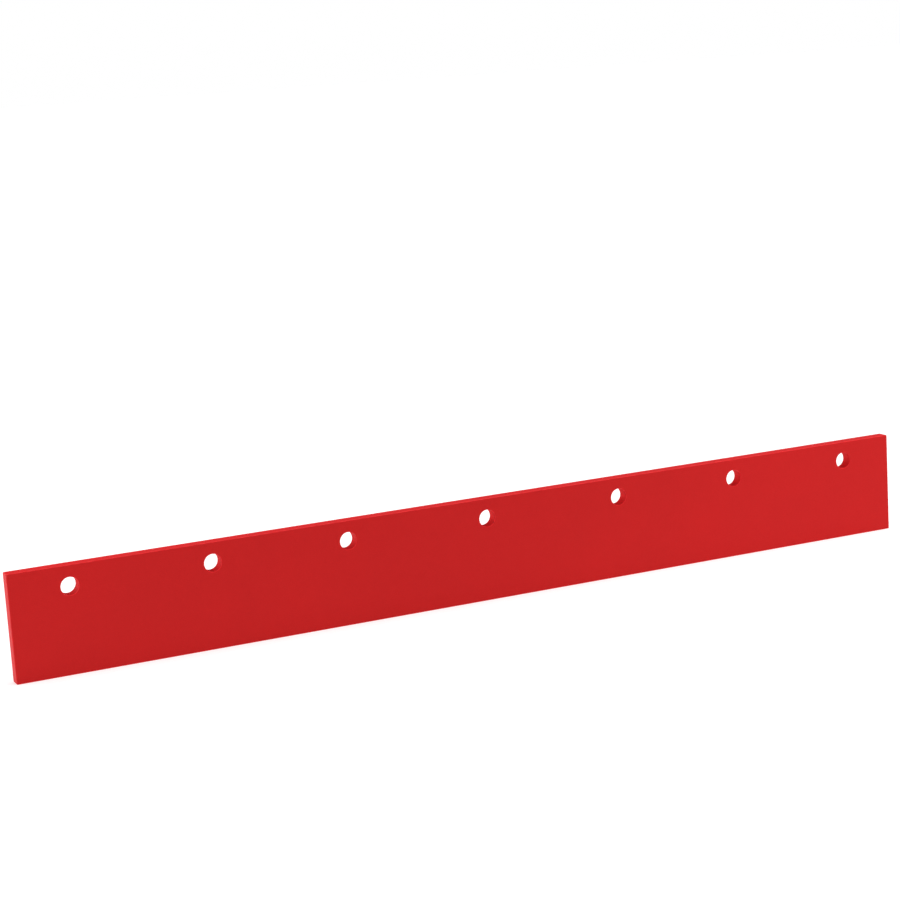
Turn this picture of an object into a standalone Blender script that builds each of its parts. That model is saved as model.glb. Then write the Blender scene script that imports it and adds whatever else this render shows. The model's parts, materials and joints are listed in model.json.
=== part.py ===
"""Cutting edge bar for a small snow plow: a flat slab of solid red polymer with a row of bolt holes.

The bar bolts to the lower rim of a plow's mouldboard and is the strip that scrapes the ground.

Frame: +X along the bar, +Y towards the back face (the one that lies on the mouldboard), +Z up.
The origin is on the lower long edge, midway along the bar and midway through its thickness.
Units are metres.
"""

import math

import bmesh
import bpy
from mathutils import Matrix

INCH = 0.0254

# The slab
LENGTH = 42.0 * INCH
HEIGHT = 4.5 * INCH
THICKNESS = 0.55 * INCH
EDGE_BREAK = 0.0008
EDGE_BREAK_STEPS = 2

# The bolt holes: one at mid-length, one an inner pitch from it on each side, the rest at the outer pitch
HOLE_DIAMETER = 0.75 * INCH
HOLE_DROP = 0.875 * INCH
INNER_PITCH = 6.5 * INCH
OUTER_PITCH = 6.0 * INCH
HOLES_EACH_SIDE = 3
HOLE_SIDES = 48
CUTTER_OVERRUN = 0.005
ROUND_ANGLE = math.radians(30.0)

# The finish: base colour in linear RGB
RED = (0.59, 0.01, 0.01, 1.0)
ROUGHNESS = 0.5
METALLIC = 0.0


def clear_scene():
    for old in list(bpy.data.objects):
        bpy.data.objects.remove(old, do_unlink=True)


def new_collection(name):
    collection = bpy.data.collections.new(name)
    bpy.context.scene.collection.children.link(collection)
    return collection


def new_object(name, shape, collection):
    """Turn a bmesh into a named object in the collection."""
    mesh = bpy.data.meshes.new(name)
    shape.to_mesh(mesh)
    shape.free()
    obj = bpy.data.objects.new(name, mesh)
    collection.objects.link(obj)
    return obj


def red_polymer():
    material = bpy.data.materials.new("red_polymer")
    material.use_nodes = True
    shader = material.node_tree.nodes["Principled BSDF"]
    shader.inputs["Base Color"].default_value = RED
    shader.inputs["Roughness"].default_value = ROUGHNESS
    shader.inputs["Metallic"].default_value = METALLIC
    return material


def hole_offsets():
    """Distances of the hole centres from mid-length; the row is the same on both sides of it."""
    side = [INNER_PITCH + step * OUTER_PITCH for step in range(HOLES_EACH_SIDE)]
    return sorted([-x for x in side] + [0.0] + side)


def make_slab(collection):
    """The plain slab, standing on its lower long edge, with its arrises broken."""
    shape = bmesh.new()
    size = Matrix.Diagonal((LENGTH, THICKNESS, HEIGHT, 1.0))
    bmesh.ops.create_cube(shape, size=1.0, matrix=size)
    slab = new_object("cutting_edge_bar", shape, collection)
    slab.location = (0.0, 0.0, HEIGHT / 2.0)
    slab.data.materials.append(red_polymer())
    arris = slab.modifiers.new("edge_break", "BEVEL")
    arris.width = EDGE_BREAK
    arris.segments = EDGE_BREAK_STEPS
    arris.limit_method = "ANGLE"
    return slab


def make_hole_cutter(number, offset, collection):
    """A cylinder across the slab, longer than the slab is thick, where one bolt passes."""
    shape = bmesh.new()
    bmesh.ops.create_cone(
        shape,
        cap_ends=True,
        segments=HOLE_SIDES,
        radius1=HOLE_DIAMETER / 2.0,
        radius2=HOLE_DIAMETER / 2.0,
        depth=THICKNESS + 2.0 * CUTTER_OVERRUN,
    )
    cutter = new_object(f"bolt_hole_cutter_{number}", shape, collection)
    cutter.data.shade_smooth()
    cutter.data.set_sharp_from_angle(angle=ROUND_ANGLE)
    cutter.rotation_euler = (math.radians(90.0), 0.0, 0.0)
    cutter.location = (offset, 0.0, HEIGHT - HOLE_DROP)
    cutter.hide_render = True
    cutter.display_type = "WIRE"
    return cutter


def cut_bolt_holes(slab, cutters):
    holes = slab.modifiers.new("bolt_holes", "BOOLEAN")
    holes.operation = "DIFFERENCE"
    holes.operand_type = "COLLECTION"
    holes.collection = cutters
    holes.solver = "EXACT"


def build():
    clear_scene()
    part = new_collection("atv_plow_cutting_edge")
    cutters = new_collection("bolt_hole_cutters")
    slab = make_slab(part)
    for number, offset in enumerate(hole_offsets(), start=1):
        make_hole_cutter(number, offset, cutters)
    cut_bolt_holes(slab, cutters)


build()
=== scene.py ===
# %% [markdown]
# # A cutting edge bar for a small snow plow
#
# The bar is the strip that scrapes the ground under a plow's curved blade. It is one slab of
# red polymer with a row of round holes, where bolts clamp it to the blade. It has no other
# piece, so the work here goes into its arrises, its hole rims and its surface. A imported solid
# model already fixes its size and place, and everything below is measured from that solid.

# %% Load the fixed frame
import json
import math

import bmesh
import bpy
from mathutils import Matrix, Vector


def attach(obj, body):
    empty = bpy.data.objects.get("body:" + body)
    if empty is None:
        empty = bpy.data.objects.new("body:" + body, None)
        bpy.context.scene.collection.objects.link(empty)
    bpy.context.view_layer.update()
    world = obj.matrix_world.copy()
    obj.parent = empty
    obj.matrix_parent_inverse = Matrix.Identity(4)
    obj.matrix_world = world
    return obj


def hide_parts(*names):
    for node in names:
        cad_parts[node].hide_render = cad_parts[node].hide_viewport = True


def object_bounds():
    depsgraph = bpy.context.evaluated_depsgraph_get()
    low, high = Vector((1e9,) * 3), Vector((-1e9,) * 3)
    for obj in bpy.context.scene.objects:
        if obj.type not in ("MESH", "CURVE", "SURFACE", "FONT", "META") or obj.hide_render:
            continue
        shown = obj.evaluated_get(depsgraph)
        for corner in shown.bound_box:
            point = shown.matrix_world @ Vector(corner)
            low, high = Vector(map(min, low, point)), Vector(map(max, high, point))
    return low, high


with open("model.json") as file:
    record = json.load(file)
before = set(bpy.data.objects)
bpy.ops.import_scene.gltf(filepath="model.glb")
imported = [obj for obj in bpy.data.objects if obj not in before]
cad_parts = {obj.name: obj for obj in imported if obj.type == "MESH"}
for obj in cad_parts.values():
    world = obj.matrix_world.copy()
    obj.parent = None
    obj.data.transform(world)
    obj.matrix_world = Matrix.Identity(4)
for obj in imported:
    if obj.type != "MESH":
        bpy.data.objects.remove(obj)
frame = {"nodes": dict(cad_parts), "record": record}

BODY = "root"
BAR_NODE = "cutting_edge_bar"

solid_bar = frame["nodes"][BAR_NODE]
cad_low, cad_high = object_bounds()
bar_length, bar_thickness, bar_height = cad_high - cad_low
print("bar in mm:", [round(1000 * side, 2) for side in (bar_length, bar_thickness, bar_height)])

# %% [markdown]
# ## Where the bolt holes are
#
# The record keeps a box of free space inside each bolt hole, so the middle of each box gives a
# hole's centre. The row is a rule and not a list: one hole at mid-length, one an inner pitch
# from it on each side, and the rest an outer pitch apart. The two pitches are read off the
# boxes, and the hole's radius is the least distance from its axis to a corner of the solid.

# %% Measure the hole row
boxes = [opening["box_m"] for opening in frame["record"]["physics"]["openings"]]
hole_centres = sorted((low[0] + high[0]) / 2 for low, high in boxes)
hole_height = (boxes[0][0][2] + boxes[0][1][2]) / 2
holes_each_side = len(hole_centres) // 2
right_half = hole_centres[holes_each_side:]
inner_pitch = right_half[1] - right_half[0]
outer_pitch = right_half[2] - right_half[1]


def distance_from_axis(corner):
    return math.hypot(corner.x - right_half[0], corner.z - hole_height)


hole_radius = min(distance_from_axis(corner.co) for corner in solid_bar.data.vertices)
print("holes:", len(boxes), "radius", round(1000 * hole_radius, 3), "mm, pitches",
      round(1000 * inner_pitch, 1), "and", round(1000 * outer_pitch, 1), "mm")

# %% [markdown]
# ## A socket that does arithmetic
#
# Both the shape and the finish are node trees, and both need arithmetic. Linking Math nodes by
# hand takes five lines for each sign. `Value` wraps one output socket and overloads the
# operators instead, with their reflected forms, so `1 - mask` adds the node and its links.


# %% Wrap a socket
class Value:
    """An output socket. Arithmetic on it adds Math nodes to its tree."""

    def __init__(self, graph, socket):
        self.graph = graph
        self.socket = socket

    def out(self, name):
        """Another output of the same node."""
        return Value(self.graph, self.socket.node.outputs[name])

    def __add__(self, other):
        return self.graph.math("ADD", self, other)

    def __sub__(self, other):
        return self.graph.math("SUBTRACT", self, other)

    def __rsub__(self, other):
        return self.graph.math("SUBTRACT", other, self)

    def __mul__(self, other):
        return self.graph.math("MULTIPLY", self, other)

    def __truediv__(self, other):
        return self.graph.math("DIVIDE", self, other)

    def __rtruediv__(self, other):
        return self.graph.math("DIVIDE", other, self)

    def __lt__(self, other):
        return self.graph.math("LESS_THAN", self, other)

    def __gt__(self, other):
        return self.graph.math("GREATER_THAN", self, other)

    def __abs__(self):
        return self.graph.math("ABSOLUTE", self)

    __radd__ = __add__
    __rmul__ = __mul__


# %% [markdown]
# ## One way to add a node
#
# Every node that isn't arithmetic comes from `Graph.add`, which takes the node's type, its
# settings, and what goes into its sockets. The settings are made first, because some of them
# decide which sockets there are.


# %% Wrap a node tree
class Graph:
    """A node tree, and the one way that nodes are added to it."""

    def __init__(self, tree):
        self.tree = tree

    def add(self, kind, settings=None, inputs=None):
        """Add a node and give its first output. An input's key is its name or its number."""
        node = self.tree.nodes.new(kind)
        for name, setting in (settings or {}).items():
            setattr(node, name, setting)
        for key, value in (inputs or {}).items():
            self.plug(self.socket(node.inputs, key), value)
        return Value(self, next((out for out in node.outputs if out.enabled), None))

    def socket(self, sockets, key):
        if isinstance(key, int):
            return sockets[key]
        return next(found for found in sockets if found.enabled and found.name == key)

    def plug(self, socket, value):
        """Link a value to a socket, or set the socket when the value is a constant."""
        if isinstance(value, Value):
            self.tree.links.new(value.socket, socket)
        elif isinstance(value, (list, tuple)) and isinstance(value[0], Value):
            for part in value:
                self.tree.links.new(part.socket, socket)
        else:
            socket.default_value = value

    def math(self, operation, *values):
        return self.add("ShaderNodeMath", {"operation": operation}, dict(enumerate(values)))

    def vector(self, x, y, z):
        return self.add("ShaderNodeCombineXYZ", None, {"X": x, "Y": y, "Z": z})


# %% [markdown]
# ## Sizes of the fine surface
#
# A sawn or cast polymer bar never has a knife edge: the arrises are eased by under a
# millimetre, and the hole rims a little less. These roundings are what catches the light, so
# they are modelled. Beside each rounding runs a narrow flat strip, the *holding strip*. Smooth
# shading blends the normals of neighbouring faces, and the strip keeps that blend away from
# the big flat faces, which would otherwise look pillowed.

# %% Fine sizes, in metres
ARRIS_ROUND = 0.0008
RIM_ROUND = 0.0006
CORNER_ROUND = 0.0003
HOLDING_STRIP = 0.0002
ROUND_STEPS = 6
HOLE_STEPS = 128
WELD_DISTANCE = 1e-6

flat_left = bar_thickness - 2 * (ARRIS_ROUND + HOLDING_STRIP)
print("flat left across an edge:", round(1000 * flat_left, 2), "mm")

# %% [markdown]
# ## The shape as a Geometry Nodes tree
#
# The bar follows a rule all the way: an outline and a row of circles, one edge profile swept
# along both, and a flat sheet that closes each face. That makes it a good main piece for
# Geometry Nodes. The sizes are named inputs of the tree, so one tree makes a bar of any width
# of plow. It is drawn lying flat, with X along the bar and Z through its thickness, because
# curves are filled in the XY plane. The last step stands it up.

# %% The tree and its named inputs
bar_inputs = {
    "Length": bar_length,
    "Height": bar_height,
    "Thickness": bar_thickness,
    "Hole Radius": hole_radius,
    "Hole Height": hole_height,
    "Inner Pitch": inner_pitch,
    "Outer Pitch": outer_pitch,
    "Holes Each Side": holes_each_side,
    "Arris Round": ARRIS_ROUND,
    "Rim Round": RIM_ROUND,
    "Corner Round": CORNER_ROUND,
    "Holding Strip": HOLDING_STRIP,
}


def new_shape_tree(name, inputs):
    """A Geometry Nodes tree with these named inputs, a material input and one output."""
    tree = bpy.data.node_groups.new(name, "GeometryNodeTree")
    tree.is_modifier = True
    tree.interface.new_socket("Geometry", in_out="OUTPUT", socket_type="NodeSocketGeometry")
    for label, size in inputs.items():
        kind = "NodeSocketInt" if isinstance(size, int) else "NodeSocketFloat"
        tree.interface.new_socket(label, in_out="INPUT", socket_type=kind)
    tree.interface.new_socket("Finish", in_out="INPUT", socket_type="NodeSocketMaterial")
    return tree


shape = Graph(new_shape_tree("plow_bar_shape", bar_inputs))
size = shape.add("NodeGroupInput")
print("tree inputs:", ", ".join(bar_inputs))

# %% [markdown]
# ## The bolt line
#
# `Points` makes one point for each hole, and a field places them. With k counted from the
# middle hole, x is sign(k) times the inner pitch plus (|k| - 1) outer pitches. At the middle
# hole the sign is zero, so x is zero too, and the rule needs no special case.


# %% Points on the bolt line
def bolt_line():
    each_side = size.out("Holes Each Side")
    from_middle = shape.add("GeometryNodeInputIndex") - each_side
    steps_out = abs(from_middle) - 1
    reach = size.out("Inner Pitch") + steps_out * size.out("Outer Pitch")
    along = shape.math("SIGN", from_middle) * reach
    above_middle = size.out("Hole Height") - size.out("Height") / 2
    place = shape.vector(along, above_middle, 0)
    return shape.add("GeometryNodePoints", None, {"Count": each_side * 2 + 1, "Position": place})


# %% [markdown]
# ## Paths for the edge profile
#
# The profile runs along two kinds of path. The outline is a rectangle with tiny rounded
# corners, set in by the arris rounding. Each hole is a circle, set out by the rim rounding and
# reversed: the profile's outer side is on the right of the path, so walking round a hole the
# other way turns it towards the hole's axis.


# %% Outline and hole paths
def outline_path():
    inset = size.out("Arris Round") * 2
    sides = {"Width": size.out("Length") - inset, "Height": size.out("Height") - inset}
    rectangle = shape.add("GeometryNodeCurvePrimitiveQuadrilateral", {"mode": "RECTANGLE"}, sides)
    corner = {"Curve": rectangle, "Count": ROUND_STEPS, "Radius": size.out("Corner Round")}
    return shape.add("GeometryNodeFilletCurve", {"mode": "POLY"}, corner)


def hole_paths():
    radius = size.out("Hole Radius") + size.out("Rim Round")
    circle = shape.add("GeometryNodeCurvePrimitiveCircle", {"mode": "RADIUS"},
                       {"Resolution": HOLE_STEPS, "Radius": radius})
    turned = shape.add("GeometryNodeReverseCurve", None, {"Curve": circle})
    row = shape.add("GeometryNodeInstanceOnPoints", None,
                    {"Points": bolt_line(), "Instance": turned})
    return shape.add("GeometryNodeRealizeInstances", None, {"Geometry": row})


# %% [markdown]
# ## The edge profile
#
# The profile goes from the front face, over a quarter round, down the wall, and over a second
# quarter round to the back face. It is a straight line of points that a field bends into
# shape. Only the front half is worked out: with m counted from the nearer end, the back half
# is the same points mirrored. On the way the profile stores three masks for the finish. `cut`
# is 1 on everything but the flat faces, `arris` peaks in the middle of each rounding, and
# `bore` is 1 inside a hole.

# %% A rounded edge profile
LAST_OF_HALF = ROUND_STEPS + 2
HALF_STEP = 0.5


def masked(geometry, name, value):
    """Store a number on each point, for the material to read."""
    return shape.add("GeometryNodeStoreNamedAttribute", {"data_type": "FLOAT", "domain": "POINT"},
                     {"Geometry": geometry, "Name": name, "Value": value})


def edge_profile(rounding, bore):
    count = 2 * (LAST_OF_HALF + 1)
    index = shape.add("GeometryNodeInputIndex")
    nearer_end = shape.math("MINIMUM", index, (count - 1) - index)
    side = shape.math("SIGN", index - (count - 1) / 2)
    step = shape.math("MINIMUM", shape.math("MAXIMUM", nearer_end - 1, 0), ROUND_STEPS)
    angle = step * (math.pi / 2 / ROUND_STEPS)
    strip = size.out("Holding Strip")
    on_face = nearer_end < HALF_STEP
    on_wall = nearer_end > LAST_OF_HALF - HALF_STEP
    outward = shape.math("SINE", angle) * rounding - on_face * strip
    depth = shape.math("COSINE", angle) * rounding - rounding - on_wall * strip
    across = side * (size.out("Thickness") / 2 + depth)
    line = shape.add("GeometryNodeCurvePrimitiveLine", {"mode": "POINTS"})
    points = shape.add("GeometryNodeResampleCurve", {"mode": "COUNT"},
                       {"Curve": line, "Count": count})
    arris = masked(points, "arris", shape.math("SINE", angle * 2))
    cut = masked(arris, "cut", 1 - on_face)
    bored = masked(cut, "bore", bore)
    bent = {"Geometry": bored, "Position": shape.vector(outward, across, 0)}
    return shape.add("GeometryNodeSetPosition", None, bent)


def swept(path, rounding, bore):
    """The wall that the profile leaves when it runs along the path."""
    level = shape.add("GeometryNodeSetCurveNormal", {"mode": "Z_UP"}, {"Curve": path})
    return shape.add("GeometryNodeCurveToMesh", None,
                     {"Curve": level, "Profile Curve": edge_profile(rounding, bore)})


walls = shape.add("GeometryNodeJoinGeometry", None, {"Geometry": [
    swept(outline_path(), size.out("Arris Round"), 0.0),
    swept(hole_paths(), size.out("Rim Round"), 1.0)]})
print("nodes for the walls:", len(shape.tree.nodes))

# %% [markdown]
# ## Closing the faces
#
# The walls end in open loops, one at the outline and one at each hole. An edge with a single
# face on it is such a loop, so the loops on the upper side become curves, and Fill Curve spans
# a sheet between them that leaves the holes open. The same sheet, moved down and turned over,
# closes the other face. The points meet exactly, so a weld at a thousandth of a millimetre
# makes one closed body.


# %% Sheets between the open loops
def moved(geometry, up):
    return shape.add("GeometryNodeTransform", {"mode": "COMPONENTS"},
                     {"Geometry": geometry, "Translation": shape.vector(0, 0, up)})


FEWER_THAN_TWO = 1.5

half_thickness = size.out("Thickness") / 2
position = shape.add("GeometryNodeInputPosition")
height_above = shape.add("ShaderNodeSeparateXYZ", None, {"Vector": position}).out("Z")
open_edge = shape.add("GeometryNodeInputMeshEdgeNeighbors") < FEWER_THAN_TWO
rim_loops = shape.add("GeometryNodeMeshToCurve", None,
                      {"Mesh": walls, "Selection": open_edge * (height_above > 0)})
sheet = shape.add("GeometryNodeFillCurve", {"mode": "TRIANGLES"}, {"Curve": rim_loops})
upper_face = moved(sheet, half_thickness)
lower_face = shape.add("GeometryNodeFlipFaces", None, {"Mesh": moved(sheet, half_thickness * -1)})

# %% [markdown]
# ## Standing the bar up
#
# The pieces are joined and welded, then a quarter turn about X takes the bar's height from Y
# to Z, and a lift of half its height puts its lower edge on the ground. The tree ends in
# Realize Instances and Set Material, so nothing in it is left as an instance.

# %% Join, weld and stand up
loose = shape.add("GeometryNodeJoinGeometry", None, {"Geometry": [walls, upper_face, lower_face]})
welded = shape.add("GeometryNodeMergeByDistance", {"mode": "ALL"},
                   {"Geometry": loose, "Distance": WELD_DISTANCE})
standing = shape.add("GeometryNodeTransform", {"mode": "COMPONENTS"}, {
    "Geometry": welded,
    "Translation": shape.vector(0, 0, size.out("Height") / 2),
    "Rotation": (math.radians(90), 0, 0)})
smooth = shape.add("GeometryNodeSetShadeSmooth", None, {"Geometry": standing})
real = shape.add("GeometryNodeRealizeInstances", None, {"Geometry": smooth})
finished = shape.add("GeometryNodeSetMaterial", None,
                     {"Geometry": real, "Material": size.out("Finish")})
shape.add("NodeGroupOutput", None, {"Geometry": finished})
print("shape tree has", len(shape.tree.nodes), "nodes")

# %% [markdown]
# ## The red finish
#
# The polymer is coloured right through, so a cut edge is as red as a face. What keeps it from
# looking like a flat swatch is small, and has to be the right size. A cast face is faintly
# cloudy, has a soft pebble of about 3 mm and a matte grain of under half a millimetre, and
# here and there a pit where an air bubble broke. Cut edges and hole walls carry fine lines
# across the thickness, left by the tool. The arrises are painted lighter, but unevenly, and
# the hole rims most of all. This is partly scuffing where washers and bolts rub, and partly a
# painted highlight along the roundings.

# %% Colours and pattern sizes
DEEP_RED = (0.54, 0.0080, 0.0083, 1)
BRIGHT_RED = (0.65, 0.0115, 0.0119, 1)
CUT_DEEP_RED = (0.50, 0.0080, 0.0100, 1)
CUT_BRIGHT_RED = (0.80, 0.0120, 0.0155, 1)
# The next colour lightens the arrises and hole rims: partly scuffing, partly a painted highlight.
WORN_AND_HIGHLIT_RED = (0.84, 0.0320, 0.0360, 1)
CLOUD_SIZE = 0.085
PEBBLE_SIZE = 0.0032
GRAIN_SIZE = 0.00045
PIT_SPACING = 0.012
PIT_RADIUS = 0.0005
TOOL_LINE_SIZE = 0.0008
TOOL_LINE_STRETCH = 0.03
WEAR_AND_HIGHLIGHT_PATCH_SIZE = 0.007
print("finest grain:", 1000 * GRAIN_SIZE, "mm, broadest cloud:", 1000 * CLOUD_SIZE, "mm")

# %% [markdown]
# ## Patterns for the finish
#
# Four small helpers make every pattern. Noise lies about a middle value of 0.5, which is also
# where a blend of two colours is even, so `noise - MIDDLE` is a pattern that only adds and
# takes away. A pit is a cone about a scattered point: 1 deep at its centre, and nothing
# outside its radius. The points fill space, and a face meets only the few that are near it.

# %% Pattern helpers
MIDDLE = 0.5


def noise(graph, place, feature, detail=2.0, roughness=0.5):
    """Smooth noise about MIDDLE, with features of this size."""
    return graph.add("ShaderNodeTexNoise", {"noise_dimensions": "3D"}, {
        "Vector": place, "Scale": 1 / feature, "Detail": detail, "Roughness": roughness})


def blend(graph, factor, first, second):
    """A colour between the first and the second."""
    return graph.add("ShaderNodeMix", {"data_type": "RGBA"},
                     {"Factor": factor, "A": first, "B": second})


def stored(graph, name):
    """One of the masks that the shape tree stored."""
    return graph.add("ShaderNodeAttribute", {"attribute_name": name}).out("Fac")


def air_pits(graph, place):
    cells = graph.add("ShaderNodeTexVoronoi", {"voronoi_dimensions": "3D", "feature": "F1"},
                      {"Vector": place, "Scale": 1 / PIT_SPACING})
    return graph.math("MAXIMUM", 1 - cells * (PIT_SPACING / PIT_RADIUS), 0)


# %% [markdown]
# ## The cast faces
#
# Each pattern works on colour, roughness and height at once. A pit is deeper, and it is also
# painted darker, which is painted shade in the hollow. The grain is a little uneven in shine.
# The heights are in metres, so they can simply be added.

# %% Cast face
CLOUD_TONE = 0.5
GRAIN_TONE = 1.6
# The next value darkens the colour in each pit: painted shade in the hollow.
PIT_SHADE = 0.5
FACE_ROUGHNESS = 0.52
CLOUD_ROUGHNESS = 0.12
GRAIN_ROUGHNESS = 0.2
PEBBLE_DEPTH = 0.00016
GRAIN_DEPTH = 0.00008
PIT_DEPTH = 0.0004


def cast_face(graph, place):
    """Colour, roughness and height of the flat faces, as they came out of the mould."""
    cloud = noise(graph, place, CLOUD_SIZE, detail=3.0)
    pebble = noise(graph, place, PEBBLE_SIZE, detail=1.0)
    grain = noise(graph, place, GRAIN_SIZE)
    pit_depth_and_shade = air_pits(graph, place)
    unevenness = (cloud - MIDDLE) * CLOUD_TONE + (grain - MIDDLE) * GRAIN_TONE
    # The pits are painted darker here: painted shade in each hollow, on top of their real depth.
    colour = blend(graph, MIDDLE + unevenness - pit_depth_and_shade * PIT_SHADE, DEEP_RED, BRIGHT_RED)
    dullness = (cloud - MIDDLE) * CLOUD_ROUGHNESS + (grain - MIDDLE) * GRAIN_ROUGHNESS
    roughness = FACE_ROUGHNESS + dullness
    height = pebble * PEBBLE_DEPTH + grain * GRAIN_DEPTH - pit_depth_and_shade * PIT_DEPTH
    return colour, roughness, height


# %% [markdown]
# ## The cut edges
#
# The tool lines come from noise that is stretched along Y, the direction through the bar. On
# any cut face, whether it is the top edge, an end or the wall of a hole, such noise shows as
# lines from front to back. So one pattern serves them all.

# %% Cut edge
TOOL_LINE_CONTRAST = 1.7
TOOL_LINE_ROUGHNESS = 0.25
SMOOTHEST_LINE = 0.3
TOOL_LINE_DEPTH = 0.00015


def cut_edge(graph, place):
    """Colour, added roughness and height where a tool has cut."""
    stretch = {"Vector": place, "Scale": (1, TOOL_LINE_STRETCH, 1)}
    along = graph.add("ShaderNodeMapping", None, stretch)
    lines = noise(graph, along, TOOL_LINE_SIZE, detail=3.0, roughness=0.6)
    tone = MIDDLE + (lines - MIDDLE) * TOOL_LINE_CONTRAST
    colour = blend(graph, tone, CUT_DEEP_RED, CUT_BRIGHT_RED)
    added_roughness = (lines - SMOOTHEST_LINE) * TOOL_LINE_ROUGHNESS
    return colour, added_roughness, lines * TOOL_LINE_DEPTH


# %% [markdown]
# ## Building the material
#
# The masks from the shape tree share out the patterns. `cut` chooses between the cast and the
# cut finish. `arris` says where the bar is painted lighter, partly as scuffing and partly as a
# painted highlight. `bore` adds to both that lightening of the hole rims and the roughness of
# the hole walls. The level of reflection is the same all over, so it is set on the shader's own
# socket.

# %% Red urethane
WEAR_AND_HIGHLIGHT_CONTRAST = 2.8
LEAST_WEAR_AND_HIGHLIGHT = 0.25
RIM_WEAR_AND_HIGHLIGHT = 0.4
BORE_ROUGHNESS = 0.2
SPECULAR_LEVEL = 0.13


def red_urethane():
    material = bpy.data.materials.new("red_urethane")
    material.use_nodes = True
    graph = Graph(material.node_tree)
    shader = material.node_tree.nodes["Principled BSDF"]
    place = graph.add("ShaderNodeTexCoord").out("Object")
    cut = stored(graph, "cut")
    arris = stored(graph, "arris")
    bore = stored(graph, "bore")

    face_colour, face_roughness, face_height = cast_face(graph, place)
    cut_colour, cut_roughness, cut_height = cut_edge(graph, place)
    wear_and_highlight_noise = noise(graph, place, WEAR_AND_HIGHLIGHT_PATCH_SIZE, detail=3.0, roughness=0.6)
    # Arrises and hole rims are painted lighter here: partly scuffing, partly a painted highlight
    # where the roundings catch the light.
    wear_and_highlight = arris * ((wear_and_highlight_noise - LEAST_WEAR_AND_HIGHLIGHT) * WEAR_AND_HIGHLIGHT_CONTRAST + bore * RIM_WEAR_AND_HIGHLIGHT)

    clean_colour = blend(graph, cut, face_colour, cut_colour)
    colour = blend(graph, wear_and_highlight, clean_colour, WORN_AND_HIGHLIT_RED)
    roughness = face_roughness + cut * (cut_roughness + bore * BORE_ROUGHNESS)
    height = face_height * (1 - cut) + cut_height * cut
    bump = graph.add("ShaderNodeBump", None, {"Height": height, "Distance": 1.0, "Strength": 1.0})

    graph.plug(shader.inputs["Base Color"], colour)
    graph.plug(shader.inputs["Roughness"], roughness)
    graph.plug(shader.inputs["Normal"], bump)
    shader.inputs["Specular IOR Level"].default_value = SPECULAR_LEVEL
    return material


red_finish = red_urethane()
print("red_urethane has", len(red_finish.node_tree.nodes), "nodes")

# %% [markdown]
# ## From tree to plain mesh
#
# The modifier's inputs are set by socket identifier before the object is first evaluated. The
# evaluated result is then copied to a plain mesh and the modifier removed, so what is shown
# and measured is the same closed body. A closed body has two faces on every edge, and
# its volume is positive when all of its faces point out.


# %% Make the bar
def from_tree(name, tree, inputs, finish):
    """Evaluate the tree once and keep the result as a plain mesh."""
    blank = bpy.data.objects.new(name, bpy.data.meshes.new(name))
    bpy.context.scene.collection.objects.link(blank)
    modifier = blank.modifiers.new(name, "NODES")
    modifier.node_group = tree
    chosen = {**inputs, "Finish": finish}
    for item in tree.interface.items_tree:
        if item.name in chosen:
            modifier[item.identifier] = chosen[item.name]
    evaluated = blank.evaluated_get(bpy.context.evaluated_depsgraph_get())
    blank.data = bpy.data.meshes.new_from_object(evaluated)
    blank.modifiers.clear()
    return blank


def closed_volume(piece):
    """The volume in cubic metres, or None if the mesh is open."""
    checked = bmesh.new()
    checked.from_mesh(piece.data)
    closed = all(len(edge.link_faces) == 2 for edge in checked.edges)
    volume = checked.calc_volume(signed=True) if closed else None
    checked.free()
    return volume


bar = from_tree("plow_cutting_edge", shape.tree, bar_inputs, red_finish)
print("faces:", len(bar.data.polygons), "volume in litres:", round(1000 * closed_volume(bar), 4))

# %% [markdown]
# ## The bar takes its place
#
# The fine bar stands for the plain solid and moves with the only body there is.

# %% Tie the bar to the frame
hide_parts(BAR_NODE)
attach(bar, BODY)
print(bar.name, "stands for", BAR_NODE, "and rides on", BODY)

# %% [markdown]
# ## Floor
#
# The bar stands on its scraping edge on a plain pale floor. The floor is large enough that its
# far edge is lost in the white background, and it lies a hair below the bar, so that the two
# surfaces don't flicker through each other. Like a lit product table it glows a little, which
# thins out the shadows.

# %% Lay the floor
FLOOR_SPAN = 60.0
FLOOR_DROP = 0.0001
FLOOR_COLOUR = (0.6, 0.6, 0.6, 1)
FLOOR_GLOW = 0.51


def plain_floor():
    flat = bmesh.new()
    bmesh.ops.create_grid(flat, x_segments=1, y_segments=1, size=FLOOR_SPAN / 2,
                          matrix=Matrix.Translation((0, 0, cad_low.z - FLOOR_DROP)))
    mesh = bpy.data.meshes.new("floor")
    flat.to_mesh(mesh)
    flat.free()
    material = bpy.data.materials.new("floor_white")
    material.use_nodes = True
    shader = material.node_tree.nodes["Principled BSDF"]
    shader.inputs["Base Color"].default_value = FLOOR_COLOUR
    shader.inputs["Roughness"].default_value = 1.0
    shader.inputs["Specular IOR Level"].default_value = 0.0
    shader.inputs["Emission Color"].default_value = (1, 1, 1, 1)
    shader.inputs["Emission Strength"].default_value = FLOOR_GLOW
    mesh.materials.append(material)
    floor = bpy.data.objects.new("floor", mesh)
    bpy.context.scene.collection.objects.link(floor)
    return floor


plain_floor()
print("floor:", FLOOR_SPAN, "m across,", 1000 * FLOOR_DROP, "mm below the bar")

# %% [markdown]
# ## Soft studio light
#
# A bar this flat is read by how its three visible faces differ. The left end is brightest, the
# top comes next, and the broad front is the deepest. A low soft box behind the left end does
# the first. It also shines through the holes, onto the walls that the camera sees. A wide
# overhead lamp, tipped to the right so that it misses the left end, does the second. The front
# lives on the white room, on what the floor throws back and on a weak fill from the left. A
# last soft box, with its beam narrowed, lifts the right half of the front.

# %% Lamps and background
AMBIENT = 0.215
BACKGROUND = 1.0


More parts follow.
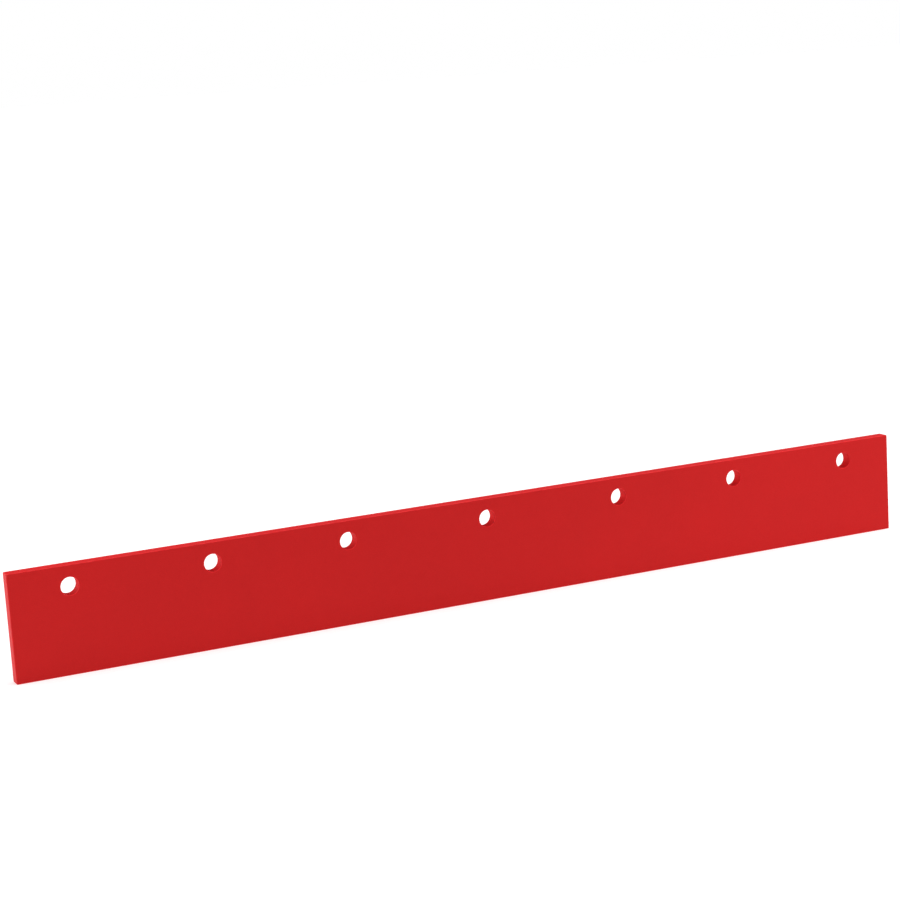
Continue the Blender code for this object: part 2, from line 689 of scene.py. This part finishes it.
def sun(name, direction, level, spread):
    """A wide lamp far off in this direction. A matt white surface facing it looks this bright."""
    lamp = bpy.data.lights.new(name, "SUN")
    lamp.energy = level * math.pi
    lamp.angle = math.radians(spread)
    lit = bpy.data.objects.new(name, lamp)
    lit.rotation_euler = Vector(direction).to_track_quat("Z", "Y").to_euler()
    bpy.context.scene.collection.objects.link(lit)


def soft_box(name, place, target, width, watts, beam):
    """A square soft box at a place, turned towards its target. The beam is in degrees."""
    lamp = bpy.data.lights.new(name, "AREA")
    lamp.size = width
    lamp.energy = watts
    lamp.spread = math.radians(beam)
    lit = bpy.data.objects.new(name, lamp)
    lit.location = place
    lit.rotation_euler = (Vector(place) - Vector(target)).to_track_quat("Z", "Y").to_euler()
    bpy.context.scene.collection.objects.link(lit)


def white_room():
    """Even light from all round. The background itself is white to the camera."""
    world = bpy.data.worlds.new("white_room")
    world.use_nodes = True
    graph = Graph(world.node_tree)
    seen = graph.add("ShaderNodeLightPath").out("Is Camera Ray")
    background = world.node_tree.nodes["Background"]
    background.inputs["Color"].default_value = (1, 1, 1, 1)
    graph.plug(background.inputs["Strength"], AMBIENT + seen * (BACKGROUND - AMBIENT))
    bpy.context.scene.world = world


white_room()
left_end = (cad_low.x, 0, bar_height)
right_end = (cad_high.x, 0, bar_height)
sun("overhead_lamp", direction=(0.17, -0.05, 0.46), level=0.87, spread=60)
sun("left_fill", direction=(-0.62, -0.25, 0.33), level=0.08, spread=40)
soft_box("back_left_box", place=(-1.9, 1.3, 0.6), target=left_end, width=1.0, watts=23.5, beam=180)
soft_box("right_box", place=(1.2, -2.4, 1.5), target=right_end, width=0.5, watts=0.22, beam=20)
print("lamps:", ", ".join(lamp.name for lamp in bpy.data.lights))

# %% [markdown]
# ## Camera
#
# The camera stands to the left of the bar and a little above it, and is rolled by a few
# degrees, so that the bar climbs to the right. A long lens keeps the bar's far end from
# shrinking too much. The camera is placed from the point that it looks at, back along its line
# of sight.

# %% Place the camera
LENS = 88.07
HEADING = math.radians(24.632)
DIP = math.radians(10.579)
ROLL = math.radians(3.574)
LOOK_AT = Vector((-0.0367, 0.0, 0.1723))
DISTANCE = 2.3883


def studio_camera():
    turn = (Matrix.Rotation(-HEADING, 4, "Z") @ Matrix.Rotation(math.pi / 2 - DIP, 4, "X")
            @ Matrix.Rotation(-ROLL, 4, "Z"))
    line_of_sight = turn.to_3x3() @ Vector((0, 0, -1))
    camera = bpy.data.objects.new("camera", bpy.data.cameras.new("camera"))
    camera.data.lens = LENS
    camera.matrix_world = Matrix.Translation(LOOK_AT - DISTANCE * line_of_sight) @ turn
    bpy.context.scene.collection.objects.link(camera)
    bpy.context.scene.camera = camera
    return camera


view = studio_camera()
bpy.context.scene.view_settings.view_transform = "Standard"
print("camera at", [round(part, 4) for part in view.matrix_world.translation])
